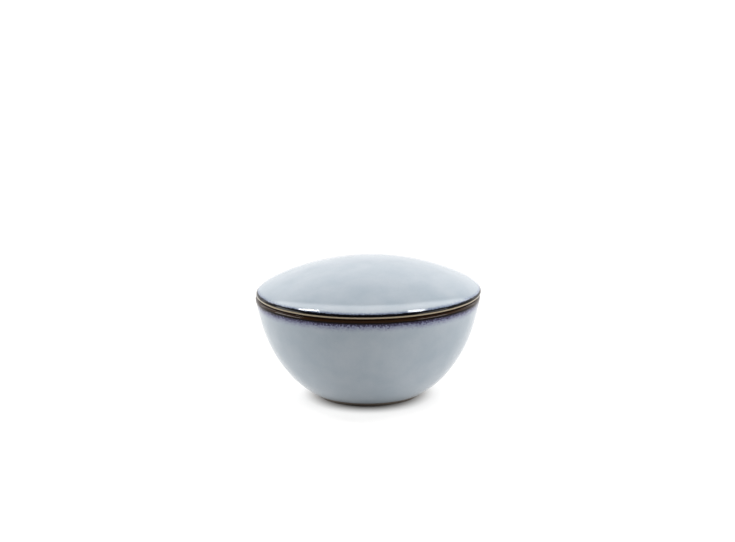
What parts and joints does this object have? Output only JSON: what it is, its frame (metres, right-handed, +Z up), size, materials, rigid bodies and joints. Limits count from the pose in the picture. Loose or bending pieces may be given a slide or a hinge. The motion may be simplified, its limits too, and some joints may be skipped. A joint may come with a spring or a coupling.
{
  "type": "lidded bowl",
  "caption": "Round stoneware bowl on a low foot ring, with a shallow domed lid that lifts off its rounded lip.",
  "frame": {"origin": "centre of the foot ring's resting plane", "axes": "+Z up along the axis that the bowl and the lid are turned about; +X and +Y are arbitrary, the front is -Y"},
  "size_m": [0.12, 0.12, 0.0741],
  "materials": {
    "bowl_glaze": "glossy smoky blue-grey reactive glaze that breaks to brown at the lip; bare brown clay on the foot ring",
    "lid_glaze": "glossy smoky blue-grey reactive glaze that breaks to near black and tan round the edge"
  },
  "bodies": {
    "bowl": {"bowl": "bowl_glaze"},
    "lid": {"lid": "lid_glaze"}
  },
  "joints": [
    {"name": "lid_lift", "type": "slide", "parent": "bowl", "child": "lid", "axis": [0, 0, 1], "range_m": [0, 0.06]}
  ]
}
